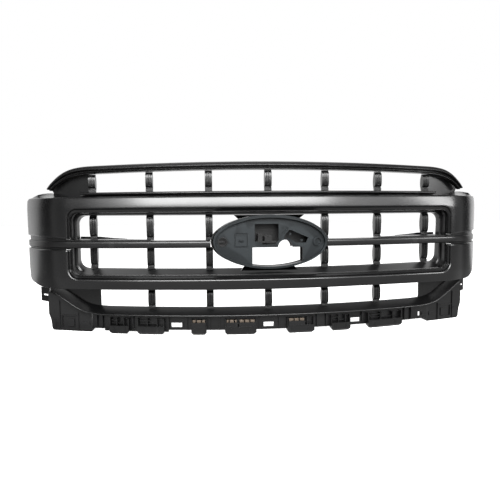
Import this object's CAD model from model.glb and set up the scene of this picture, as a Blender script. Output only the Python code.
# %% [markdown]
# # A front grille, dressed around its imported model
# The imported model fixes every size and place. This lesson loads it, measures it, and then builds a
# finer visible piece over each of its solids, with a finish for each material. The grille is a painted
# surround over a black moulded insert, with an empty badge carrier and a clipped apron.

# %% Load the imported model
import math

import bmesh
import bpy
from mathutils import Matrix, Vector


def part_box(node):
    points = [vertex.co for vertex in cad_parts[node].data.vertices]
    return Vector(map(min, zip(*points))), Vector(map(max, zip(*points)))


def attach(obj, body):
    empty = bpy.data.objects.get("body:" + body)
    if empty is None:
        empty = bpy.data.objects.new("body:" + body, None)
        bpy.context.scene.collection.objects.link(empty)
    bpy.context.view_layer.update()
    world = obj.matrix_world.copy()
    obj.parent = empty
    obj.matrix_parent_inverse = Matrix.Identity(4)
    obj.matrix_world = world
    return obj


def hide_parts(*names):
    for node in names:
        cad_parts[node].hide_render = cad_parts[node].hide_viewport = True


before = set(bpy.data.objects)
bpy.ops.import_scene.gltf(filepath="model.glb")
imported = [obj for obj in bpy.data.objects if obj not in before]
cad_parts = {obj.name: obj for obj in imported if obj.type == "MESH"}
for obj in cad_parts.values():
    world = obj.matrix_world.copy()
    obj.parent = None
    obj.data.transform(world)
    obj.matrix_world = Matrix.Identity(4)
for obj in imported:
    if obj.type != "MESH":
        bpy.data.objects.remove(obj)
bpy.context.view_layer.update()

# %% [markdown]
# ## The drawing frame
# A grille is easiest to draw from its middle bar, with heights up and down from it and depths from the
# front of the centre strut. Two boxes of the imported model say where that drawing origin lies, so the
# numbers below can be a stylist's own: heights above the bar and half widths from the middle plane.

# %% Find the drawing origin
STRUT_RIB = 0.0025
BAR_TOP, BAR_BOTTOM = 0.0125, -0.009
SOLID_GAP = 0.0003
front_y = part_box("strut_top_4")[0].y + STRUT_RIB
bar_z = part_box("gusset_left")[0].z - SOLID_GAP - BAR_TOP
origin = Vector((0, front_y, bar_z))
print("drawing origin at", [round(v, 4) for v in origin])


def measured(node):
    """A solid's box in the drawing frame."""
    low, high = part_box(node)
    return low - origin, high - origin


upper_side = measured("surround_upper")[0].x
lower_side = measured("surround_lower")[0].x
STRUT_PITCH = sum(corner.x for corner in measured("strut_top_7")) / 6
STRUT_WIDTH = measured("strut_top_4")[1].x - measured("strut_top_4")[0].x
SIDES = (("left", -1), ("right", 1))
print("half widths of the painted halves:", round(-upper_side, 4), round(-lower_side, 4))
print("struts every", round(STRUT_PITCH, 4), "and", round(STRUT_WIDTH, 4), "wide")

# %% [markdown]
# ## Two bows seen from above
# The insert follows one gentle bow, and the painted face a shallower one that turns back hard into the
# wings. Formulas keep every piece on the same two curves, which points placed by hand never would.

# %% Plan curves
WING_START = 0.6


def insert_plan(x):
    """How far back the insert's front lies at this x."""
    return 0.317 * x * x - 0.064 * x**4


def face_plan(x):
    """How far back the painted face lies at this x."""
    past = max(0.0, abs(x) - WING_START)
    return -0.042 + 0.222 * x * x + 3.85 * past * past


def spread(a, b, count):
    """count + 1 even values from a to b."""
    return [a + (b - a) * i / count for i in range(count + 1)]


print("bow of the insert at its tips:", round(insert_plan(0.674), 3), "m")

# %% [markdown]
# ## Outline helpers
# Moulded parts have no sharp corners. One helper rounds the corners of any closed outline, another
# draws arcs, and a third runs a smooth curve through a few chosen points.

# %% Arcs and ovals
def arc(cx, cz, radius, start, end, count):
    """Points of an arc, angles in degrees from +X towards +Z."""
    angles = [math.radians(a) for a in spread(start, end, count)]
    return [(cx + radius * math.cos(a), cz + radius * math.sin(a)) for a in angles]


def ellipse(cx, cz, half_x, half_z, count):
    """Points of an oval about (cx, cz)."""
    turns = [2 * math.pi * i / count for i in range(count)]
    return [(cx + half_x * math.cos(a), cz + half_z * math.sin(a)) for a in turns]


print("a quarter arc in four steps has", len(arc(0, 0, 1, 0, 90, 4)), "points")


# %% Rounded outlines and smooth lines
def rounded(outline, radius, steps=3):
    """The closed outline with each corner turned into a small curve."""
    result = []
    for i, point in enumerate(outline):
        here = Vector(point)
        before = Vector(outline[i - 1]) - here
        after = Vector(outline[(i + 1) % len(outline)]) - here
        reach = min(radius, 0.45 * before.length, 0.45 * after.length)
        start = here + before.normalized() * reach
        end = here + after.normalized() * reach
        for t in spread(0, 1, steps):
            result.append(tuple(start * (1 - t) ** 2 + here * 2 * t * (1 - t) + end * t * t))
    return result


def smooth_line(points, steps):
    """A smooth curve through the points, with this many steps between each two."""
    padded = [points[0], *points, points[-1]]
    result = []
    for p0, p1, p2, p3 in zip(padded, padded[1:], padded[2:], padded[3:]):
        p0, p1, p2, p3 = map(Vector, (p0, p1, p2, p3))
        for t in spread(0, 1, steps)[:-1]:
            bent = 2 * p1 + (p2 - p0) * t + (2 * p0 - 5 * p1 + 4 * p2 - p3) * t * t
            result.append(tuple(0.5 * (bent + (3 * p1 - p0 - 3 * p2 + p3) * t**3)))
    return result + [tuple(points[-1])]


print("a square with rounded corners has", len(rounded([(0, 0), (1, 0), (1, 1), (0, 1)], 0.1)), "points")


# %% [markdown]
# ## Solid helpers
# Four ways of making a body cover the whole grille: a loft through rings, a section drawn out along X,
# an outline drawn out along Y, and a Boolean of two bodies. A loft can also stay an open skin.

# %% Lofts, bars and blocks
def loft(rings, closed=True, caps=True):
    """A body, or an open skin, through rings of matching points."""
    bm = bmesh.new()
    rows = [[bm.verts.new(point) for point in ring] for ring in rings]
    count = len(rows[0])
    for a, b in zip(rows, rows[1:]):
        for i in range(count if closed else count - 1):
            j = (i + 1) % count
            bm.faces.new((a[i], a[j], b[j], b[i]))
    if caps:
        bm.faces.new(rows[0])
        bm.faces.new(rows[-1])
        bmesh.ops.recalc_face_normals(bm, faces=bm.faces)
    return bm


def bar(section, x0, x1):
    """A (y, z) section drawn out along X."""
    return loft([[(x, y, z) for y, z in section] for x in (x0, x1)])


def block(outline, y0, y1):
    """An (x, z) outline drawn out along Y."""
    return loft([[(x, y, z) for x, z in outline] for y in (y0, y1)])


def box(x0, x1, y0, y1, z0, z1):
    """A plain rectangular body."""
    return block([(x0, z0), (x1, z0), (x1, z1), (x0, z1)], y0, y1)


def side_box(sign, near, far, *rest):
    """The same between two half widths: on the right for sign 1, on the left for -1."""
    x0, x1 = sorted((sign * near, sign * far))
    return box(x0, x1, *rest)


print("bodies: loft, bar, block, box and side_box")

# %% [markdown]
# ## Bends and Booleans
# Everything is drawn straight first, because Booleans are surest between flat faces. The finished body
# is then cut at even stations, and each of its points slides back along a plan curve.

# %% Bends
def bend(bm, plan, step):
    """Cuts the body at even stations in x and slides each point back along the plan curve."""
    low = min(vert.co.x for vert in bm.verts)
    high = max(vert.co.x for vert in bm.verts)
    for x in spread(low, high, max(1, round((high - low) / step)))[1:-1]:
        everything = bm.verts[:] + bm.edges[:] + bm.faces[:]
        bmesh.ops.bisect_plane(bm, geom=everything, plane_co=(x, 0, 0), plane_no=(1, 0, 0))
    for vert in bm.verts:
        vert.co.y += plan(vert.co.x)
    return bm


print("half a metre out, a bend moves a point back by", round(insert_plan(0.5), 3), "m")


# %% Booleans
def show(name, data):
    """Puts a mesh, lamp or camera into the scene as an object."""
    obj = bpy.data.objects.new(name, data)
    bpy.context.scene.collection.objects.link(obj)
    return obj


def combined(bm, other, operation="DIFFERENCE"):
    """Cuts, or joins, one body with another through an exact Boolean."""
    helpers = []
    for source in (bm, other):
        bmesh.ops.recalc_face_normals(source, faces=source.faces)
        mesh = bpy.data.meshes.new("helper")
        source.to_mesh(mesh)
        source.free()
        helpers.append(show("helper", mesh))
    modifier = helpers[0].modifiers.new("Boolean", "BOOLEAN")
    modifier.object = helpers[1]
    modifier.operation = operation
    modifier.solver = "EXACT"
    bpy.context.view_layer.update()
    graph = bpy.context.evaluated_depsgraph_get()
    mesh = bpy.data.meshes.new_from_object(helpers[0].evaluated_get(graph))
    result = bmesh.new()
    result.from_mesh(mesh)
    bmesh.ops.remove_doubles(result, verts=result.verts, dist=1e-6)
    for helper in helpers:
        bpy.data.objects.remove(helper, do_unlink=True)
    bpy.data.meshes.remove(mesh)
    return result


sample = combined(box(0, 1, 0, 1, 0, 1), box(0.4, 0.6, -1, 2, 0.4, 0.6))
print("a box with a square hole has", len(sample.verts), "corners")

# %% [markdown]
# ## Finishes
# Four finishes dress the grille. Satin paint is smooth, with a faint orange peel and dust in its gloss.
# The moulded black is a fine-grained plastic, the badge carrier a smoother slate plastic, and the
# spring clips a passivated steel with drawn streaks. Each finish is one node group of noise, kept in
# metres, so that the grain has its real size wherever it lands.

# %% Node helpers
def add_node(tree, kind):
    """A new shader node of this kind."""
    return tree.nodes.new("ShaderNode" + kind)


def add_noise(tree, place, scale, detail):
    """A field of noise with this many bumps a metre."""
    node = add_node(tree, "TexNoise")
    node.inputs["Scale"].default_value = scale
    node.inputs["Detail"].default_value = detail
    tree.links.new(place, node.inputs["Vector"])
    return node.outputs["Fac"]


def add_range(tree, source, low, high, new_low, new_high):
    """Stretches the values from low to high over a new range."""
    node = add_node(tree, "MapRange")
    tree.links.new(source, node.inputs["Value"])
    limits = (low, high, new_low, new_high)
    for socket, value in zip(("From Min", "From Max", "To Min", "To Max"), limits):
        node.inputs[socket].default_value = value
    return node.outputs["Result"]


def add_mix(tree, share, second):
    """A colour mixer that goes over to its second colour as the share grows."""
    node = add_node(tree, "Mix")
    node.data_type = "RGBA"
    node.inputs["B"].default_value = second
    tree.links.new(share, node.inputs["Factor"])
    return node


print("node helpers: noise, range and mix")

# %% [markdown]
# ## One recipe for four finishes
# Broad noise shifts the tone and the gloss a little, as moulding and handling do. Fine noise is the
# grain: it feeds the bump and roughens the gloss. Sharp convex edges are rubbed slightly lighter.

# %% A finish with grain, gloss variation and worn edges
TONE_SPREAD, GLOSS_SPREAD = 0.14, 0.03
WORN_FROM, WORN_TO = 0.58, 0.68


def finish(name, colour, rough, grain, depth, patch=9.0, metallic=0.0, stretch=(1, 1, 1), mirror=0.5):
    """A plastic, paint or metal: grain in bumps per metre and its depth in metres."""
    material = bpy.data.materials.new(name)
    material.use_nodes = True
    tree = material.node_tree
    shader = tree.nodes["Principled BSDF"]
    shader.inputs["Metallic"].default_value = metallic
    shader.inputs["Specular IOR Level"].default_value = mirror
    place = add_node(tree, "TexCoord")
    mapping = add_node(tree, "Mapping")
    mapping.inputs["Scale"].default_value = stretch
    tree.links.new(place.outputs["Object"], mapping.inputs["Vector"])
    broad = add_noise(tree, mapping.outputs["Vector"], patch, 4.0)
    fine = add_noise(tree, mapping.outputs["Vector"], grain, 2.0)

    lighter = (*[c * (1 + TONE_SPREAD) for c in colour], 1)
    tone = add_mix(tree, add_range(tree, broad, 0.3, 0.7, 0.0, 1.0), lighter)
    tone.inputs["A"].default_value = (*[c * (1 - TONE_SPREAD) for c in colour], 1)
    edge = add_node(tree, "NewGeometry").outputs["Pointiness"]
    rubbed_colour = (*[min(1.0, c * 1.6 + 0.004) for c in colour], 1)
    rubbed = add_mix(tree, add_range(tree, edge, WORN_FROM, WORN_TO, 0.0, 1.0), rubbed_colour)
    tree.links.new(tone.outputs["Result"], rubbed.inputs["A"])
    tree.links.new(rubbed.outputs["Result"], shader.inputs["Base Color"])

    gloss = add_node(tree, "Math")
    gloss.operation = "ADD"
    patches = add_range(tree, broad, 0.3, 0.7, rough - GLOSS_SPREAD, rough + GLOSS_SPREAD)
    tree.links.new(patches, gloss.inputs[0])
    tree.links.new(add_range(tree, fine, 0.3, 0.7, -0.02, 0.02), gloss.inputs[1])
    tree.links.new(gloss.outputs["Value"], shader.inputs["Roughness"])
    bump = add_node(tree, "Bump")
    bump.inputs["Strength"].default_value = 1.0
    bump.inputs["Distance"].default_value = depth
    tree.links.new(fine, bump.inputs["Height"])
    tree.links.new(bump.outputs["Normal"], shader.inputs["Normal"])
    return material


PAINT, PLASTIC = (0.0018, 0.0018, 0.0019), (0.0014, 0.0014, 0.0015)
SLATE, STEEL = (0.003, 0.0044, 0.0052), (0.034, 0.026, 0.019)
satin_paint = finish("satin_black_paint", PAINT, 0.24, 1200, 0.000002)
moulded_black = finish("grained_black_plastic", PLASTIC, 0.33, 900, 0.00002, mirror=0.42)
badge_slate = finish("slate_badge_plastic", SLATE, 0.44, 700, 0.00002, mirror=0.2)
clip_steel = finish("passivated_clip_steel", STEEL, 0.5, 500, 0.00002, 40.0, 0.8, (1, 1, 0.1))

# %% [markdown]
# ## Placing a piece
# Every piece takes the same last steps: it moves from the drawing frame to the model's own, gets its
# finish and a small edge radius, and then it rides on the model and stands for the solids it covers.

# %% The last steps of every piece
def piece(name, bm, material, replaced, edge=0.0, skin=0.0, smooth=35):
    """Makes the visible object of this mesh; edge is its corner radius, skin a sheet's thickness."""
    bmesh.ops.translate(bm, verts=bm.verts, vec=origin)
    mesh = bpy.data.meshes.new(name)
    bm.to_mesh(mesh)
    bm.free()
    mesh.materials.append(material)
    mesh.shade_smooth()
    obj = show(name, mesh)
    if skin:
        solidify = obj.modifiers.new("Thickness", "SOLIDIFY")
        solidify.thickness = skin
        solidify.offset = -1
        solidify.use_even_offset = True
    if edge:
        bevel = obj.modifiers.new("Edge radius", "BEVEL")
        bevel.width = edge
        bevel.segments = 2
        bevel.limit_method = "ANGLE"
        bevel.angle_limit = math.radians(smooth)
    mesh.set_sharp_from_angle(angle=math.radians(smooth))
    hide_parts(*replaced)
    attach(obj, "root")
    print(f"{name}: {len(mesh.polygons)} faces")


# %% [markdown]
# ## The camera
# The eye stands about a metre and a half in front, a little to the left and slightly above the middle
# bar, and looks down a little. It comes first, so that every later step can be checked from it.

# %% Camera
EYE = Vector((-0.202, -1.471, 0.098))
YAW, PITCH, ROLL = (math.radians(a) for a in (5.67, 4.53, -0.49))
LENS = 35.41
ahead = Vector((math.sin(YAW) * math.cos(PITCH), math.cos(YAW) * math.cos(PITCH), -math.sin(PITCH)))
level_right = Vector((math.cos(YAW), -math.sin(YAW), 0))
level_up = level_right.cross(ahead)
right = math.cos(ROLL) * level_right + math.sin(ROLL) * level_up
up = -math.sin(ROLL) * level_right + math.cos(ROLL) * level_up
camera = show("camera", bpy.data.cameras.new("camera"))
camera.data.sensor_width = 36
camera.data.lens = LENS
placed = camera.matrix_world.copy()
for column, axis in enumerate((right, up, -ahead)):
    for row in range(3):
        placed[row][column] = axis[row]
placed.translation = EYE + origin
camera.matrix_world = placed
bpy.context.scene.camera = camera
print("camera", round(EYE.length, 2), "m from the middle bar")

# %% [markdown]
# ## The painted surround
# On the real grille this is one big moulding with the middle bar's slot through both wings, so it is
# drawn here as an upper and a lower half. Each half is a skin: a flange, a rounded shoulder, a crowned
# face, a rounded inner edge and a chamfer that drops into the opening. A loft between the outer edge
# and the opening's edge gives all of that, with the rows bunched where the skin turns.

# %% Points along a chain
def along(points, count):
    """count + 1 points evenly spaced along a chain of points."""
    lengths = [0.0]
    for a, b in zip(points, points[1:]):
        lengths.append(lengths[-1] + (Vector(b) - Vector(a)).length)
    result = []
    for target in spread(0, lengths[-1], count):
        k = 0
        while k < len(points) - 2 and lengths[k + 1] < target:
            k += 1
        t = (target - lengths[k]) / (lengths[k + 1] - lengths[k])
        result.append(tuple(Vector(points[k]).lerp(Vector(points[k + 1]), t)))
    return result


def whole(left_half):
    """A chain that ends on the middle plane, then its mirror image."""
    return left_half + [(-x, z) for x, z in reversed(left_half[:-1])]


print("a chain of one metre in four steps:", along([(0, 0), (1, 0)], 4))

# %% Edges of the painted halves
OPENING_HALF, OPENING_RADIUS = 0.598, 0.03
OPENING_TOP, OPENING_BOTTOM = 0.108, -0.1
UPPER_RIM, LOWER_RIM = 0.143, -0.1325
centre_x = -OPENING_HALF + OPENING_RADIUS


def edges_of(upper):
    """Matching (x, z) points down the outer edge and the opening's edge of one half."""
    top = OPENING_TOP if upper else OPENING_BOTTOM
    sign = 1 if upper else -1
    corner_z = top - sign * OPENING_RADIUS
    if upper:
        side, slot_in, slot_out = upper_side, 0.019, 0.028
        rim = UPPER_RIM
        corner = [(side, corner_z + 0.002), (side, 0.137), (side + 0.002, 0.141), (side + 0.006, rim)]
    else:
        side, slot_in, slot_out = lower_side, -0.0135, -0.0135
        rim = LOWER_RIM
        corner = smooth_line([(side, corner_z - 0.002), (-0.755, -0.095), (-0.7535, -0.112)], 4)
        foot = [(-0.7485, -0.118), (-0.722, -0.1265), (-0.7, -0.1315), (-0.672, -0.1325)]
        corner += smooth_line(foot, 3)
    corner += [(centre_x, rim)]
    inner = along([(-OPENING_HALF, slot_in), (-OPENING_HALF, corner_z)], 10)
    inner += arc(centre_x, corner_z, OPENING_RADIUS, 180, 180 - sign * 90, 18)[1:]
    outer = along([(side, slot_out), (side, corner[0][1])], 10) + along(corner, 18)[1:]
    across = spread(centre_x, 0.0, 40)[1:]
    return whole(outer + [(x, rim) for x in across]), whole(inner + [(x, top) for x in across])


print("points along the opening's upper edge:", len(edges_of(True)[1]))

# %% [markdown]
# ## The painted face's depth
# The face leans back a little towards its outer edge, which is what stretches the lamps into soft bands.
# Behind the edge the flange turns back, and over the wings it grows deeper and climbs.

# %% Crown and flange
SHOULDER = {True: 0.0045, False: 0.003}
INNER_ROUND = {True: 0.0035, False: 0.0075}


def crown(z, upper):
    """How far the face leans back towards its outer edge."""
    if upper:
        share = max(0.0, (z - OPENING_TOP) / 0.035)
        return 0.0025 * share + 0.0045 * share * share
    share = max(0.0, (OPENING_BOTTOM - z) / 0.0325)
    return 0.002 * share + 0.002 * share * share


def flange(x, upper):
    """Depth and rise of the turned-back flange: it deepens and climbs behind the wing."""
    size = abs(x)
    depth, rise = 0.03, 0.0
    if upper and size > WING_START:
        depth = min(insert_plan(size) + 0.006 - face_plan(size), 0.06)
        rise = 0.016 * min(1.0, (size - WING_START) / 0.06)
    if size > 0.69:
        depth = max(0.012, depth - 1.1 * (size - 0.69))
        rise *= max(0.0, 1 - (size - 0.69) / 0.055)
    return depth, rise


print("crown at the upper rim:", round(crown(UPPER_RIM, True), 4), "m")

# %% Rows of the painted halves
PAINT_SKIN = 0.003
CHAMFER = [(0.25, 0.0062), (0.6, 0.009), (0.9, 0.0114), (0.94, 0.0112), (0.99, 0.0104)]
CHAMFER += [(1.05, 0.0104), (1.1, 0.0112), (1.12, 0.013), (1.13, 0.026)]


def painted_half(upper):
    """Rings of one half, from the flange's rear edge to the chamfer's."""
    outer, inner = edges_of(upper)
    sign = 1 if upper else -1
    shoulder, turn = SHOULDER[upper], INNER_ROUND[upper]
    corner_z = (OPENING_TOP if upper else OPENING_BOTTOM) - sign * OPENING_RADIUS
    rows = []
    for share in spread(1, 0, 5)[:-1]:
        ring = []
        for x, z in outer:
            depth, rise = flange(x, upper)
            back = shoulder + (depth - shoulder) * share
            ring.append((x, face_plan(x) + back + crown(z, upper), z + rise * share**1.5))
        rows.append(ring)
    steps = []
    for a in spread(0, math.pi / 2, 6):
        steps.append((shoulder * (1 - math.cos(a)), shoulder * (1 - math.sin(a)), 0.0))
    steps += [(0.0, 0.0, t) for t in spread(0, 1, 14)[1:-1]]
    for a in spread(math.pi / 2, 0, 6):
        steps.append((-turn * (1 - math.cos(a)), turn * (1 - math.sin(a)), 1.0))
    for offset, back, share in steps:
        ring = []
        for (xo, zo), (xi, zi) in zip(outer, inner):
            length = math.hypot(xi - xo, zi - zo)
            if share in (0.0, 1.0):
                t = share + offset / length
            else:
                t = (shoulder + share * (length - shoulder - turn)) / length
            x, z = xo + (xi - xo) * t, zo + (zi - zo) * t
            ring.append((x, face_plan(x) + back + crown(z, upper), z))
        rows.append(ring)
    drop = 0.0105 if upper else 0.008
    for inward, back in CHAMFER:
        ring = []
        for x, z in inner:
            dx = max(0.0, abs(x) - (OPENING_HALF - OPENING_RADIUS)) / OPENING_RADIUS
            dz = max(0.0, sign * (z - corner_z)) / OPENING_RADIUS
            nx = x - math.copysign(0.006 * inward * dx, x)
            ring.append((nx, face_plan(nx) + back, z - sign * drop * inward * dz))
        rows.append(ring)
    return [ring[::-1] for ring in rows] if upper else rows


for upper, name in ((True, "upper"), (False, "lower")):
    skin = loft(painted_half(upper), closed=False, caps=False)
    skin.normal_update()
    piece(f"painted_surround_{name}", skin, satin_paint, [f"surround_{name}"], 0.0, PAINT_SKIN, 50)

# %% [markdown]
# ## The liner of the opening
# Behind the chamfer a moulded liner carries the opening back to the struts, with a small step half-way
# where the two tool halves meet. It is one closed loop on the real part, so it is one piece here too.

# %% Liner
REAR_HALF, LINER_HALF = 0.576, 0.5905
LINER_START = 0.0285
LINER_FLOOR, LINER_RISE = -0.0908, 0.0168
LINER_ROOF, LINER_FALL = 0.0962, 0.0092


def rear_y(x, z):
    """Where the liner's rear edge lies: just ahead of the struts at the top, past them at the bottom."""
    return insert_plan(x) + 0.0051 - 0.0658 * z


def liner_loop(half, top, bottom, radius):
    """The rounded opening as one closed loop."""
    loop = [(x, top) for x in spread(-half + radius, half - radius, 90)]
    loop += arc(half - radius, top - radius, radius, 90, 0, 10)[1:]
    loop += [(half, z) for z in spread(top - radius, bottom + radius, 16)[1:-1]]
    loop += arc(half - radius, bottom + radius, radius, 0, -90, 10)
    loop += [(x, bottom) for x in spread(half - radius, -half + radius, 90)[1:]]
    loop += arc(-half + radius, bottom + radius, radius, -90, -180, 10)[1:]
    loop += [(-half, z) for z in spread(bottom + radius, top - radius, 16)[1:-1]]
    return loop + arc(-half + radius, top - radius, radius, 180, 90, 10)[:-1]


def liner():
    """The loop carried back in rings, with a step half-way."""
    rings = []
    steps = [(0, 0, 0.006), (0, 0, 0.001), (0.01, 0, 0), (0.15, 0, 0), (0.3, 0, 0), (0.45, 0, 0)]
    steps += [(0.48, 0.7, 0), (0.51, 1, 0), (0.75, 1, 0), (1, 1, 0)]
    for t, step, out in steps:
        half = LINER_HALF + (REAR_HALF - LINER_HALF) * (0.55 * t + 0.45 * step) + out
        top = LINER_ROOF - LINER_FALL * (0.55 * t + 0.45 * step) + out
        bottom = LINER_FLOOR + LINER_RISE * t - out
        ring = []
        for x, z in liner_loop(half, top, bottom, 0.022 + 0.004 * t + out):
            front = face_plan(x) + LINER_START
            ring.append((x, front + (rear_y(x, z) - front) * t, z))
        rings.append(ring)
    return loft(rings, caps=False)


lining = liner()
bmesh.ops.recalc_face_normals(lining, faces=lining.faces)
lined = ["liner_upper", "liner_lower", "liner_left", "liner_right"]
piece("opening_liner", lining, moulded_black, lined, 0.0007, 0.0022)

# %% [markdown]
# ## Ledge channels, top rail and bottom rail
# These long rails are bent with the insert. Channels keep one section all the way, so a drawn section
# slid along the plan is enough. The top and bottom rails also sweep up or down at their tips, so they
# are lofted: the section is carried along a smooth line, thinning towards the tips.

# %% Ledge channels
UPPER_CHANNEL = [
    (-0.015, 0.1495), (-0.018, 0.152), (-0.018, 0.1555), (-0.0145, 0.158), (0.026, 0.158),
    (0.026, 0.155), (0.0078, 0.155), (0.0078, 0.092), (0.026, 0.092), (0.026, 0.089),
    (0.0048, 0.089), (0.0048, 0.1495),
]
LOWER_CHANNEL = [
    (-0.004, -0.139), (0.026, -0.139), (0.026, -0.136), (0.016, -0.136), (0.016, -0.0775),
    (0.013, -0.0775), (0.013, -0.136), (-0.004, -0.136),
]
for name, section, node in (
    ("ledge_above_surround", UPPER_CHANNEL, "upper_cross_rail"),
    ("ledge_below_opening", LOWER_CHANNEL, "lower_cross_rail"),
):
    channel = bend(bar(rounded(section, 0.0012, 2), -0.565, 0.565), insert_plan, 0.012)
    piece(name, channel, moulded_black, [node])

# %% Lines and sections of the top and bottom rails
def top_line(x):
    """The height of the top rail's upper front edge."""
    return 0.2425 - 0.024 * x * x


RAIL_HEIGHT = 0.0215
TOP_LINE = [(x, top_line(x)) for x in spread(0.0, 0.545, 11)] + [
    (0.575, 0.2325), (0.598, 0.2275), (0.618, 0.2195), (0.636, 0.2085), (0.652, 0.1955),
    (0.664, 0.184), (0.674, 0.172),
]
BOTTOM_LINE = [(x, -0.2125) for x in spread(0.0, 0.5, 10)] + [
    (0.53, -0.2108), (0.559, -0.206), (0.58, -0.1985), (0.597, -0.1895), (0.615, -0.1785),
    (0.635, -0.1655), (0.655, -0.152), (0.672, -0.141),
]
TOP_SECTION = [
    (0.0, 0.0), (-0.006, -0.009), (-0.004, -0.011), (0.012, -0.012), (0.012, -0.0175),
    (0.007, -0.019), (0.007, -0.0215), (0.038, -0.0215), (0.038, -0.004), (0.012, 0.0025),
]
BOTTOM_SECTION = [
    (0.0, 0.0), (-0.002, -0.002), (-0.002, -0.0045), (0.001, -0.0055), (0.036, 0.013),
    (0.036, 0.018), (0.033, 0.0195),
]
print("the top rail falls", round(TOP_LINE[0][1] - TOP_LINE[-1][1], 3), "m from its middle to its tips")

# %% Top and bottom rails
TOP_TIP_SCALE, BOTTOM_TIP_SCALE = 0.5, 0.55
THIN_FROM, RAIL_LEAD = 0.6, 0.02


def swept(line, section, end_scale):
    """Carries a (back, up) section along a half line and its mirror image, thinner at the tips."""
    half = smooth_line(line, 3)
    chain = [(-x, z) for x, z in reversed(half[1:])] + half
    path = [Vector((x, insert_plan(x) - RAIL_LEAD, z)) for x, z in chain]
    tip = line[-1][0]
    rings = []
    for i, here in enumerate(path):
        tangent = (path[min(i + 1, len(path) - 1)] - path[max(i - 1, 0)]).normalized()
        back = Vector((0, 0, 1)).cross(tangent).normalized()
        rise = tangent.cross(back)
        scale = 1 - (1 - end_scale) * max(0.0, (abs(here.x) - THIN_FROM) / (tip - THIN_FROM))
        rings.append([here + (back * b + rise * u) * scale for b, u in section])
    return loft(rings)


high_rail = swept(TOP_LINE, rounded(TOP_SECTION, 0.0025), TOP_TIP_SCALE)
piece("top_rail_swept", high_rail, moulded_black, ["top_rail"])
low_rail = swept(BOTTOM_LINE, rounded(BOTTOM_SECTION, 0.0012), BOTTOM_TIP_SCALE)
piece("bottom_rail_swept", low_rail, moulded_black, ["bottom_rail"])

# %% [markdown]
# ## The middle bar
# It starts beside the badge and runs out through the slot in the wing, getting shallower as it goes. A
# rounded front with a faint crease catches one soft line of light along its whole length. A thin web
# behind the slot, and a plug at its inner end, keep the eye from looking through.

# %% Middle bar
WEB_REAR, BAR_REAR = 0.013, 0.06
BAR_SECTION = [
    (0.009, BAR_BOTTOM), (0.0045, -0.007), (0.0035, -0.002), (0.0035, 0.007), (0.005, 0.011),
    (0.009, BAR_TOP), (BAR_REAR, BAR_TOP), (BAR_REAR, BAR_BOTTOM),
]
BAR_TIP, SHELL_HALF_X, SHELL_HALF_Z = 0.757, 0.174, 0.0775
WEB = (0.606, 0.75, 0.01, WEB_REAR, -0.0235, 0.037)
PLUG = (0.5915, 0.6085, 0.0106, 0.048, -0.0125, 0.018)
for side, sign in SIDES:
    section = rounded(BAR_SECTION, 0.003)
    stations = spread(SHELL_HALF_X + 0.001, BAR_TIP, 70)
    run = loft([[(sign * x, y, z) for y, z in section] for x in stations])
    run = combined(run, side_box(sign, *WEB), "UNION")
    run = combined(run, side_box(sign, *PLUG), "UNION")
    bend(run, lambda x: 0.0, 0.01)
    for vert in run.verts:
        rear = max(0.016, 0.055 - 0.12 * max(0.0, abs(vert.co.x) - 0.4))
        behind_web = max(0.0, vert.co.y - WEB_REAR)
        vert.co.y -= behind_web * (1 - (rear - WEB_REAR) / (BAR_REAR - WEB_REAR))
        vert.co.y += face_plan(vert.co.x)
    piece(f"middle_bar_{side}_run", run, moulded_black, [f"middle_bar_{side}"])

# %% [markdown]
# ## Shelves behind the middle bar
# A thin shelf ties the bar to the outer struts, which stand well behind it there. A lip along its rear
# edge stiffens it and shows above the bar from the front.

# %% Shelves
LIP = [
    (0.43, 0.014), (0.43, 0.016), (0.47, 0.018), (0.515, 0.022), (0.58, 0.0225),
    (0.58, 0.014),
]
for side, sign in SIDES:
    xs = spread(0.35, 0.582, 24)
    front = [(x, face_plan(x) + 0.014 - insert_plan(x)) for x in xs]
    reach = [face_plan(x) - insert_plan(x) + 0.03 + 0.38 * (x - 0.34) for x in xs]
    rear = [(x, min(0.0275, y)) for x, y in zip(xs, reach)]
    outline = [(sign * x, y) for x, y in front + rear[::-1]]
    shelf = loft([[(x, y, BAR_TOP + rise) for x, y in outline] for rise in (SOLID_GAP, 0.0033)])
    rim = block(rounded([(sign * x, z) for x, z in LIP], 0.002), 0.0245, 0.027)
    shelf = bend(combined(shelf, rim, "UNION"), insert_plan, 0.012)
    piece(f"bar_shelf_{side}", shelf, moulded_black, [f"gusset_{side}"], 0.0006)

# %% [markdown]
# ## The struts
# Each strut is a post whose face bows forward between two grooves, one under its head and one above its
# foot. The face carries a raised pad with a narrow slot down the middle. All 24 share one function,
# because they differ only in place and height.

# %% One strut
STRUT_BOW, REAR_BOW = 0.0048, 0.008
GROOVE, GROOVE_DEPTH = 0.0038, 0.004
PAD_HALF, SLOT_HALF = 0.005, 0.0014


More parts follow.
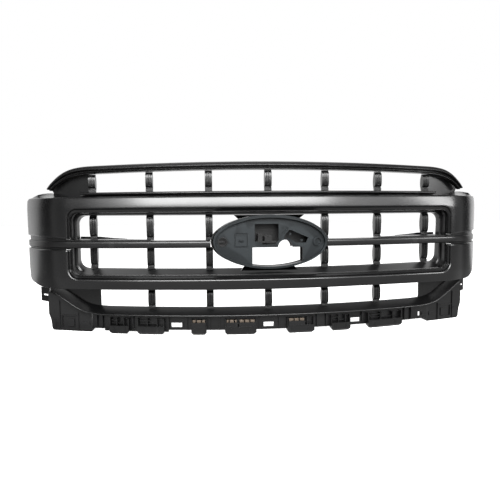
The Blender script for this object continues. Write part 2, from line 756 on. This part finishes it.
def strut(row, k, low, high, foot, low_rear=None):
    """One post of a row, k pitches from the middle."""
    x = k * STRUT_PITCH
    y = insert_plan(abs(x) + STRUT_WIDTH / 2)
    low_rear = low if low_rear is None else low_rear
    face_low, face_high = low + foot + GROOVE, high - GROOVE

    def face(z):
        """Where the bowed face lies at this height."""
        share = 2 * (z - face_low) / (face_high - face_low) - 1
        return y - STRUT_BOW * (1 - share**4)

    def strip(half, inset, ahead, behind):
        """A body that follows the middle of the face."""
        zs = spread(face_low + inset, face_high - inset, 8)
        section = [(face(z) - ahead, z) for z in zs] + [(face(z) + behind, z) for z in reversed(zs)]
        return bar(section, x - half, x + half)

    outline = [(y + GROOVE_DEPTH, high), (y + GROOVE_DEPTH, face_high + 0.0005)]
    outline += [(face(z), z) for z in spread(face_high, face_low, 10)]
    outline += [(y + GROOVE_DEPTH, face_low - 0.0005), (y + GROOVE_DEPTH, low + foot)]
    outline += [(y, low + foot - 0.001), (y, low)]
    for t in spread(0, 1, 12):
        bulge = REAR_BOW * math.sin(math.pi * t)
        outline.append((y + 0.01 + bulge, low_rear + (high - low_rear) * t))
    post = bar(outline, x - STRUT_WIDTH / 2, x + STRUT_WIDTH / 2)
    post = combined(post, strip(PAD_HALF, 0.0025, STRUT_RIB, 0.001), "UNION")
    post = combined(post, strip(SLOT_HALF, 0.0055, 0.01, 0.0005))
    name = f"{row}_{k + 4}"
    piece(f"post_{name}", post, moulded_black, [f"strut_{name}"], 0.0006)


print("strut faces bow forward by", STRUT_BOW, "m")


# %% Four rows of struts
def rail_under(x):
    """The top rail's underside where a strut meets it."""
    return top_line(x) - RAIL_HEIGHT


def ledge_over(x, y):
    """The lower liner's upper surface."""
    front = face_plan(x) + LINER_START
    t = min(1.0, max(0.0, (y - front) / (rear_y(x, -0.074) - front)))
    return LINER_FLOOR + LINER_RISE * t


for k in range(-3, 4):
    x = abs(k * STRUT_PITCH)
    near, far = x - STRUT_WIDTH / 2, x + STRUT_WIDTH / 2
    outermost = abs(k) == 3
    strut("top", k, 0.1583, rail_under(x + 0.02) - 0.0006, 0.01)
    if k:
        strut("mid_upper", k, BAR_TOP + (0.0039 if outermost else SOLID_GAP), 0.0886, 0.006)
        bar_under = BAR_TOP if outermost else BAR_BOTTOM - SOLID_GAP
        strut("mid_lower", k, ledge_over(near, insert_plan(far)) + 0.0008, bar_under, 0.009, -0.0725)
    if not outermost:
        lean = insert_plan(far) - insert_plan(near)
        strut("bottom", k, -0.2001 + 0.6 * lean, -0.1393, 0.007, -0.1912)

# %% [markdown]
# ## Corner panels
# Blank panels close the four outer corners, where no air is wanted. Their outer edge follows the rail's
# own line at a distance, and near the tips it passes behind the rail.

# %% The edge beside a rail
BEHIND_FROM = 0.63


def inside_of(line, offset, end_scale, first):
    """Points inside a rail's line, by less where the rail thins and where they pass behind it."""
    tip = line[-1][0]
    points = []
    for a, b in zip(line, line[1:]):
        direction = Vector((b[0] - a[0], b[1] - a[1])).normalized()
        middle = Vector(((a[0] + b[0]) / 2, (a[1] + b[1]) / 2))
        scale = 1 - (1 - end_scale) * max(0.0, (middle.x - THIN_FROM) / (tip - THIN_FROM))
        behind = min(1.0, max(0.0, (middle.x - BEHIND_FROM) / 0.025))
        point = middle + Vector((direction.y, -direction.x)) * offset * scale * (1 - 0.85 * behind)
        if point.x > first:
            points.append(tuple(point))
    return points


print("panel edge points under the top rail:", len(inside_of(TOP_LINE, 0.019, TOP_TIP_SCALE, 0.55)))

# %% Corner panels
start = 3 * STRUT_PITCH + STRUT_WIDTH / 2 + 0.0004
panel_edges = {
    "upper": [(start, 0.1585), (0.566, 0.1585), (0.566, 0.138), (0.64, 0.138), (0.655, 0.148)]
    + [(0.666, 0.168)]
    + inside_of(TOP_LINE, 0.019, TOP_TIP_SCALE, 0.55)[::-1]
    + [(start, 0.214)],
    "lower": [(0.516, -0.1395), (0.566, -0.1395), (0.566, -0.128), (0.656, -0.128), (0.664, -0.136)]
    + inside_of(BOTTOM_LINE, -0.017, BOTTOM_TIP_SCALE, 0.53)[::-1]
    + [(0.516, -0.1945)],
}
for side, sign in SIDES:
    for level, outline in panel_edges.items():
        panel = bend(block([(sign * x, z) for x, z in outline], 0.0125, 0.0155), insert_plan, 0.012)
        covered = [f"corner_panel_{level}_{side}"]
        piece(f"blank_{level}_{side}", panel, moulded_black, covered, 0.0005)

# %% [markdown]
# ## Apron, clip boxes and spring clips
# Under the bottom rail hangs a thin apron with open-topped boxes. Folded spring clips stand in four of
# them and grip the panel below. Slots between the boxes take locating tongues.

# %% Places along the apron
BASE_Z = measured("apron")[0].z
CLIP_BOXES = [
    (-0.487, -0.427), (-0.4, -0.318), (-0.236, -0.19), (-0.134, -0.04), (0.056, 0.14),
    (0.196, 0.258), (0.32, 0.441),
]
APRON_SLOTS = [(-0.296, -0.264), (-0.0165, 0.0145), (0.262, 0.294)]
CLIPS = [(-0.2315, -0.1945), (-0.129, -0.099), (-0.09, -0.045), (0.061, 0.108)]
BOX_RIM, BOX_FRONT, BOX_REAR = -0.249, -0.018, 0.01
APRON_HALF = 0.545
print("the apron has", len(CLIP_BOXES), "boxes,", len(APRON_SLOTS), "slots and", len(CLIPS), "clips")

# %% Apron plate, boxes and slots
apron = box(-APRON_HALF, APRON_HALF, 0.0, 0.003, -0.262, -0.214)
raised = [
    (-APRON_HALF, APRON_HALF, -0.0025, 0.001, -0.262, -0.2596),
    (-0.505, -0.305, -0.001, 0.006, -0.269, -0.26),
]
for x0, x1 in CLIP_BOXES:
    foot = [(BOX_FRONT, BOX_RIM), (BOX_FRONT, BASE_Z + 0.0065), (BOX_FRONT + 0.008, BASE_Z)]
    body = bar([*foot, (BOX_REAR, BASE_Z), (BOX_REAR, BOX_RIM)], x0, x1)
    for side, sign in ((x0, 1), (x1, -1)):
        outside, inside = side - sign * 0.01, side + sign * 0.0065
        corner = [(outside, BASE_Z - 0.01), (inside, BASE_Z - 0.01), (inside, BASE_Z)]
        corner += [(side, BASE_Z + 0.0075), (outside, BASE_Z + 0.0075)]
        body = combined(body, block(corner, -0.05, 0.05))
    apron = combined(apron, body, "UNION")
for x0, x1 in APRON_SLOTS:
    raised.append((x0 - 0.004, x1 + 0.004, -0.0045, 0.001, -0.2575, -0.2355))
for parts in raised:
    apron = combined(apron, box(*parts), "UNION")
for x0, x1 in CLIP_BOXES:
    hollow = box(x0 + 0.003, x1 - 0.003, BOX_FRONT + 0.0035, -0.0015, BASE_Z + 0.0095, -0.2)
    apron = combined(apron, hollow)
for x0, x1 in [*APRON_SLOTS, (0.51, 0.528)]:
    apron = combined(apron, box(x0, x1, -0.05, 0.15, -0.2535, -0.2395))
print("apron so far:", len(apron.faces), "faces")

# %% [markdown]
# ## Moulded details of the apron
# Ledges and cheeks inside each box guide the panel's tongue, ribs stiffen its front wall, and upright
# ribs on the plate keep it flat. They are all small boxes, listed first and joined in one loop.

# %% Cheeks, ledges, ribs and tongues
PLATE_RIBS = [
    -0.53, -0.512, -0.415, -0.306, -0.25, -0.18, -0.15, -0.03, 0.03, 0.15, 0.18, 0.3,
    0.455, 0.48,
]
WALL = 0.0022
details = []
for x0, x1 in CLIP_BOXES:
    width = x1 - x0
    details.append((x0 + 0.1 * width, x1 - 0.25 * width, -0.0075, 0.001, -0.244, -0.2418))
    details.append((x0 + 0.1 * width, x0 + 0.45 * width, -0.011, 0.001, -0.234, -0.2318))
    details.append((x1 - 0.3 * width, x1 - 0.06 * width, -0.006, 0.001, -0.23, -0.228))
    for x in (x0, x0 + 0.36 * width, x1 - 0.28 * width, x1 - WALL):
        details.append((x, x + WALL, -0.0125, 0.001, -0.2492, -0.2275))
    for x in (x0 + 0.18 * width, x1 - 0.22 * width):
        front_rib = (BOX_FRONT - 0.0014, BOX_FRONT + 0.001, BASE_Z + 0.008, -0.254)
        details.append((x, x + 0.003, *front_rib))
    rim = (BOX_FRONT - 0.0018, BOX_FRONT + 0.001, -0.2512, BOX_RIM)
    details.append((x0 - 0.0012, x1 + 0.0012, *rim))
for x0, x1 in CLIPS:
    details.append((x0 - 0.002, x1 + 0.002, BOX_FRONT, BOX_FRONT + 0.003, -0.2512, -0.2368))
for x in PLATE_RIBS:
    details.append((x, x + 0.002, -0.006, 0.001, -0.2618, -0.218))
for parts in details:
    apron = combined(apron, box(*parts), "UNION")
piece("clip_apron", bend(apron, insert_plan, 0.02), moulded_black, ["apron"], 0.0005)

# %% [markdown]
# ## Spring clips
# Each clip is one strip of steel, folded over at the top and notched twice. It is drawn as the section
# of the fold, so its thickness is the strip's own.

# %% Spring clips
for number, (x0, x1) in enumerate(CLIPS, 1):
    fold = [(0.0, -0.233), (0.0022, -0.2295), (0.0085, -0.2295), (0.011, -0.2325), (0.011, -0.245)]
    fold += [(0.01, -0.245), (0.01, -0.233), (0.008, -0.2305), (0.0028, -0.2305)]
    fold += [(0.0012, -0.233), (0.0012, -0.269), (0.0, -0.269)]
    strip = bar([(dy - 0.0138, z) for dy, z in fold], x0, x1)
    middle = (x0 + x1) / 2
    for x in (middle - 0.01, middle + 0.006):
        strip = combined(strip, box(x, x + 0.004, -0.02, -0.005, -0.24, -0.22))
    strip = bend(strip, insert_plan, 0.01)
    piece(f"folded_clip_{number}", strip, clip_steel, [f"spring_clip_{number}"], 0.0002)

# %% [markdown]
# ## End brackets, side tabs and upper ears
# The brackets are boxed mouldings at the feet of the wings, with open pockets at the back. The slotted
# tabs take a fastener from the side, and the ears along the top are screwed down.

# %% End brackets
BRACKET = [
    (0.546, -0.275), (0.546, -0.214), (0.565, -0.199), (0.63, -0.165), (0.656, -0.148),
    (0.69, -0.14), (0.69, -0.224), (0.683, -0.2415), (0.68, -0.27), (0.674, -0.275),
]
UNDER_RAIL = [
    (0.54, -0.2205), (0.564, -0.214), (0.585, -0.206), (0.602, -0.197), (0.62, -0.186),
    (0.64, -0.173), (0.655, -0.1645), (0.7, -0.15), (0.7, -0.13), (0.54, -0.18),
]
TALL_POCKET = [(0.594, -0.272), (0.65, -0.272), (0.65, -0.179), (0.594, -0.209)]
LOW_POCKET = (0.55, 0.59, 0.007, 0.1, -0.272, -0.2265)
FRONT_RECESS = (0.6, 0.645, -0.02, 0.0045, -0.264, -0.229)
BRACKET_RIBS = [
    (0.605, 0.623, 0.0015, 0.006, -0.261, -0.236),
    (0.554, 0.576, -0.0012, 0.002, -0.256, -0.244),
    (0.59, 0.5915, -0.002, 0.002, -0.2745, -0.216),
    (0.652, 0.6535, -0.002, 0.002, -0.2745, -0.18),
    (0.656, 0.679, -0.001, 0.002, -0.24, -0.238),
    (0.596, 0.65, -0.0016, 0.002, -0.226, -0.224),
]


def end_bracket(sign):
    """One bracket, cut back under the rail and pocketed from behind."""
    bracket = block(rounded([(sign * x, z) for x, z in BRACKET], 0.004), 0.001, 0.056)
    bracket = combined(bracket, block([(sign * x, z) for x, z in UNDER_RAIL], -0.01, 0.0225))
    bracket = combined(bracket, block([(sign * x, z) for x, z in TALL_POCKET], 0.007, 0.1))
    for cut in (LOW_POCKET, FRONT_RECESS):
        bracket = combined(bracket, side_box(sign, *cut))
    for rib in BRACKET_RIBS:
        bracket = combined(bracket, side_box(sign, *rib), "UNION")
    return bend(bracket, insert_plan, 0.012)


print("a bracket has", len(BRACKET_RIBS), "ribs and two pockets")

# %% Brackets, side tabs and upper ears
TAB_TURN, TAB_AT = 40, (0.7082, 0.172, -0.1655)
EAR_X, EAR_HALF = 0.3, 0.028
for side, sign in SIDES:
    bracket = end_bracket(sign)
    piece(f"foot_bracket_{side}", bracket, moulded_black, [f"end_bracket_{side}"], 0.0008)

    tab = box(-0.022, 0.022, -0.0015, 0.0015, -0.023, 0.023)
    tab = combined(tab, box(-0.01, 0.016, -0.02, 0.02, -0.004, 0.001))
    turn = math.radians(sign * TAB_TURN)
    for vert in tab.verts:
        x, y, z = vert.co
        vert.co = (
            x * math.cos(turn) - y * math.sin(turn) + sign * TAB_AT[0],
            x * math.sin(turn) + y * math.cos(turn) + TAB_AT[1],
            z + TAB_AT[2],
        )
    piece(f"slotted_tab_{side}", tab, moulded_black, [f"side_tab_{side}"], 0.0005)

    x = sign * EAR_X
    z = top_line(x) - 0.014
    ear = [(0.0, -0.006), (0.003, -0.006), (0.003, 0.0), (0.04, 0.0), (0.04, 0.003)]
    ear += [(0.0, 0.003)]
    ear_body = bar([(0.02 + dy, z + dz) for dy, dz in ear], x - EAR_HALF, x + EAR_HALF)
    ear_body = bend(ear_body, insert_plan, 0.012)
    piece(f"screw_ear_{side}", ear_body, moulded_black, [f"upper_tab_{side}"], 0.0005)

# %% [markdown]
# ## The badge carrier
# An oval plate with a raised rim waits for its badge. It is cut away below for a harness and above for
# a lens, and a shell behind it closes the gap to the liner with a web at the top and the bottom.

# %% Outlines of the badge carrier
BADGE_Z, BADGE_HALF_X, BADGE_HALF_Z = 0.0084, 0.168, 0.079
NOTCH_LEFT, NOTCH_RIGHT, NOTCH_TOP = -0.053, 0.0965, -0.0085


def oval(trim_x, trim_z, y0, y1, centre_z=BADGE_Z):
    """A drawn-out oval, this much smaller than the carrier's rim."""
    return block(ellipse(0, centre_z, BADGE_HALF_X - trim_x, BADGE_HALF_Z - trim_z, 128), y0, y1)


def disc(x, radius, y0, y1):
    """A round boss or hole on the carrier's long axis."""
    return block(ellipse(x, 0.008, radius, radius, 32), y0, y1)


def notch():
    """The see-through cut-out: a straight top with a half-round bump, its foot following the oval."""
    half_x, half_z = BADGE_HALF_X - 0.006, BADGE_HALF_Z - 0.006
    xs = spread(NOTCH_LEFT, NOTCH_RIGHT, 24)
    foot = [(x, BADGE_Z - half_z * math.sqrt(1 - (x / half_x) ** 2)) for x in xs]
    bump = arc(0.0445, NOTCH_TOP, 0.0215, 0, 180, 20)
    return block(foot + [(NOTCH_RIGHT, NOTCH_TOP)] + bump + [(NOTCH_LEFT, NOTCH_TOP)], -0.06, 0.02)


def window():
    """The upper cut-out, where the lens bracket shows."""
    outline = [(-0.0457, 0.0603), (-0.0457, 0.0085), (-0.024, 0.004), (-0.024, 0.0)]
    outline += [(0.015, 0.0), (0.0245, 0.012), (0.0245, 0.0603)]
    return block(outline[::-1], -0.06, 0.02)


print("the carrier is", 2 * BADGE_HALF_X, "m wide")

# %% Badge plate
RIB = [(0.04, 0.033), (0.0425, 0.033), (0.056, 0.05), (0.0535, 0.05)]
WEDGE = [
    (0.04, 0.017), (0.044, 0.028), (0.058, 0.043), (0.113, 0.019), (0.106, 0.004),
    (0.075, 0.004), (0.066, 0.011), (0.056, 0.017),
]
BOSS_X, SOCKET_X = 0.141, -0.14
CUT, ADD = "DIFFERENCE", "UNION"
BADGE_STEPS = [
    ("the face sunk inside its rim", oval(0.006, 0.0075, -0.06, -0.044, 0.0069), CUT),
    ("the back hollowed out", oval(0.005, 0.005, -0.041, -0.03), CUT),
    ("the notch for a harness", notch(), CUT),
    ("the window for a lens", window(), CUT),
    ("a square pocket", box(-0.1062, -0.0664, -0.05, -0.0425, -0.008, 0.0338), CUT),
    ("a pad inside it", box(-0.103, -0.0696, -0.0455, -0.0415, -0.0048, 0.0306), ADD),
    ("a bar across the pad", box(-0.092, -0.079, -0.05, -0.044, 0.0095, 0.0145), ADD),
    ("a slanted rib", block(RIB, -0.0475, -0.043), ADD),
    ("a recess beside the window", block(WEDGE, -0.06, -0.0405), CUT),
    ("its upper pin", block(ellipse(0.059, 0.03, 0.0036, 0.0036, 16), -0.0455, -0.0395), ADD),
    ("its lower pin", block(ellipse(0.093, 0.0115, 0.0036, 0.0036, 16), -0.0455, -0.0395), ADD),
    ("the boss", disc(BOSS_X, 0.014, -0.048, -0.042), ADD),
    ("the hole in the boss", disc(BOSS_X, 0.009, -0.06, -0.043), CUT),
    ("the hole for the socket", disc(SOCKET_X, 0.015, -0.06, -0.03), CUT),
]
plate = oval(0, 0, -0.054, -0.038)
for step, other, operation in BADGE_STEPS:
    plate = combined(plate, other, operation)
    print(f"{step}: {len(plate.faces)} faces")
piece("badge_carrier", plate, badge_slate, ["badge_plate"], 0.0006)

# %% [markdown]
# ## Behind and around the badge plate
# A shell closes the carrier's back. A socket takes one of the badge's clips, a bracket in the window
# holds the lens, and two webs tie the shell to the liner above and below.

# %% Badge shell
shell = block(ellipse(0, BADGE_Z, SHELL_HALF_X, SHELL_HALF_Z, 128), -0.0375, -0.001)
inside = block(ellipse(0, BADGE_Z, SHELL_HALF_X - 0.003, SHELL_HALF_Z - 0.003, 128), -0.05, -0.004)
shell = combined(combined(shell, inside), notch())
piece("carrier_shell", shell, moulded_black, ["badge_shell"], 0.0006)

# %% Socket and lens bracket
socket = combined(disc(SOCKET_X, 0.0145, -0.044, -0.03), disc(SOCKET_X, 0.011, -0.06, -0.0335))
socket = combined(socket, box(-0.152, -0.136, -0.0435, -0.032, 0.0065, 0.0095), "UNION")
piece("clip_socket", socket, moulded_black, ["badge_socket"], 0.0004)

bracket = box(-0.042, 0.0205, -0.037, -0.034, 0.004, 0.0095)
bracket = combined(bracket, box(-0.036, -0.023, -0.0375, -0.01, 0.008, 0.03), "UNION")
bracket = combined(bracket, box(-0.016, 0.006, -0.0375, -0.01, 0.008, 0.024), "UNION")
piece("lens_bracket", bracket, moulded_black, ["camera_bracket"], 0.0006)

# %% Webs above and below
WEB_FRONT, WEB_LEAN = -0.024, -0.013
clear_x, clear_z = SHELL_HALF_X + SOLID_GAP, SHELL_HALF_Z + SOLID_GAP
for level, sign, half_far, half_near, far_z, rear in (
    ("top", 1, 0.105, 0.092, 0.0868, -0.005),
    ("bottom", -1, 0.086, 0.072, -0.079, -0.007),
):
    near = []
    for x in spread(-half_near, half_near, 24):
        rise = clear_z * math.sqrt(1 - (x / clear_x) ** 2) + SOLID_GAP
        near.append((x, BADGE_Z + sign * rise))
    web = block(near + [(half_far, far_z), (-half_far, far_z)], WEB_FRONT, rear)
    for vert in web.verts:
        if vert.co.y < WEB_LEAN and abs(vert.co.z - far_z) > 0.0001:
            vert.co.y = WEB_LEAN
    piece(f"carrier_web_{level}", web, moulded_black, [f"badge_bridge_{level}"], 0.0006)

# %% [markdown]
# ## Floor, sky and lamps
# Satin black shows only what it mirrors, so the studio matters as much as the finish. A white floor and
# a white sky behind the grille keep its outline clean, a dim sky in front keeps its blacks black, and
# large soft lamps draw the highlights.

# %% Zones of brightness
ZONES = ((-0.3, 0.34), (-0.05, 0.5), (0.05, 0.035), (0.42, 0.035), (0.47, 1.35))
ZONE_SKEW = -0.1


def studio_zones(tree, direction):
    """The studio's brightness by direction: dim in front, dark at the sides, bright behind."""
    split = add_node(tree, "SeparateXYZ")
    tree.links.new(direction, split.inputs["Vector"])
    askew = add_node(tree, "Math")
    askew.operation = "MULTIPLY_ADD"
    askew.inputs[1].default_value = ZONE_SKEW
    tree.links.new(split.outputs["X"], askew.inputs[0])
    tree.links.new(split.outputs["Y"], askew.inputs[2])
    zones = add_node(tree, "ValToRGB")
    stops = zones.color_ramp.elements
    stops.remove(stops[0])
    for number, (depth, level) in enumerate(ZONES):
        at = (depth + 1) / 2
        stop = stops[0] if number == 0 else stops.new(at)
        stop.position = at
        stop.color = (level, level, level, 1)
    share = add_range(tree, askew.outputs["Value"], -1.0, 1.0, 0.0, 1.0)
    tree.links.new(share, zones.inputs["Fac"])
    return zones.outputs["Color"]


def plain_at_first_sight(tree, level):
    """A mixer with a plain level where it is looked at directly, and its first colour elsewhere."""
    sight = add_node(tree, "LightPath").outputs["Is Camera Ray"]
    return add_mix(tree, sight, (level, level, level, 1))


print("zones from front to back:", [level for _, level in ZONES])

# %% Floor
FLOOR_SIZE, FLOOR_DROP = 12, 0.001
floor_mesh = bpy.data.meshes.new("floor")
sheet = bmesh.new()
bmesh.ops.create_grid(sheet, x_segments=1, y_segments=1, size=FLOOR_SIZE)
sheet.to_mesh(floor_mesh)
sheet.free()
pale = bpy.data.materials.new("pale_floor")
pale.use_nodes = True
floor_tree = pale.node_tree
floor_shader = floor_tree.nodes["Principled BSDF"]
floor_shader.inputs["Roughness"].default_value = 0.9
floor_shader.inputs["Emission Strength"].default_value = 1.0
place = add_node(floor_tree, "TexCoord")
outward = add_node(floor_tree, "VectorMath")
outward.operation = "NORMALIZE"
floor_tree.links.new(place.outputs["Object"], outward.inputs[0])
base = plain_at_first_sight(floor_tree, 0.86)
base.inputs["A"].default_value = (0.08, 0.08, 0.08, 1)
glow = plain_at_first_sight(floor_tree, 0.7)
floor_tree.links.new(studio_zones(floor_tree, outward.outputs["Vector"]), glow.inputs["A"])
floor_tree.links.new(base.outputs["Result"], floor_shader.inputs["Base Color"])
floor_tree.links.new(glow.outputs["Result"], floor_shader.inputs["Emission Color"])
floor_mesh.materials.append(pale)
floor = show("floor", floor_mesh)
floor.location.z = -FLOOR_DROP
print("the floor reaches", FLOOR_SIZE, "m each way")

# %% Sky
world = bpy.data.worlds.new("studio")
world.use_nodes = True
bpy.context.scene.world = world
sky = world.node_tree
direction = add_node(sky, "TexCoord")
pick = plain_at_first_sight(sky, 1)
sky.links.new(studio_zones(sky, direction.outputs["Generated"]), pick.inputs["A"])
sky.links.new(pick.outputs["Result"], sky.nodes["Background"].inputs["Color"])
print("the sky uses the same zones")

# %% [markdown]
# ## Lamps
# A wide lamp gives the face its soft grey, a second one in front of the middle draws the bright band
# along the upper bar, a narrow one lights the right wing, and one overhead picks out the top edges.

# %% Lamps
def lamp(name, place, aim, width, height, watts):
    """A soft rectangular lamp that faces its aim."""
    light = bpy.data.lights.new(name, "AREA")
    light.shape = "RECTANGLE"
    light.size, light.size_y = width, height
    light.energy = watts
    obj = show(name, light)
    obj.location = place
    obj.rotation_euler = (Vector(aim) - Vector(place)).to_track_quat("-Z", "Y").to_euler()
    print(f"{name}: {watts} W, {round(width * height, 2)} square metres")


lamp("wide_front_lamp", (0.2, -2.4, 1.5), (0.2, 0, 0.4), 5.2, 1.8, 98)
lamp("centre_front_lamp", (-0.19, -1.7, 1.35), (-0.19, 0, 0.4), 2.3, 0.9, 130)
lamp("right_front_lamp", (2.0, -1.0, 0.95), (0.55, 0.05, 0.4), 0.35, 0.9, 22)
lamp("top_lamp", (0.0, 0.2, 2.4), (0, 0.1, 0.2), 2.4, 1.2, 20)
bpy.context.scene.view_settings.view_transform = "Standard"
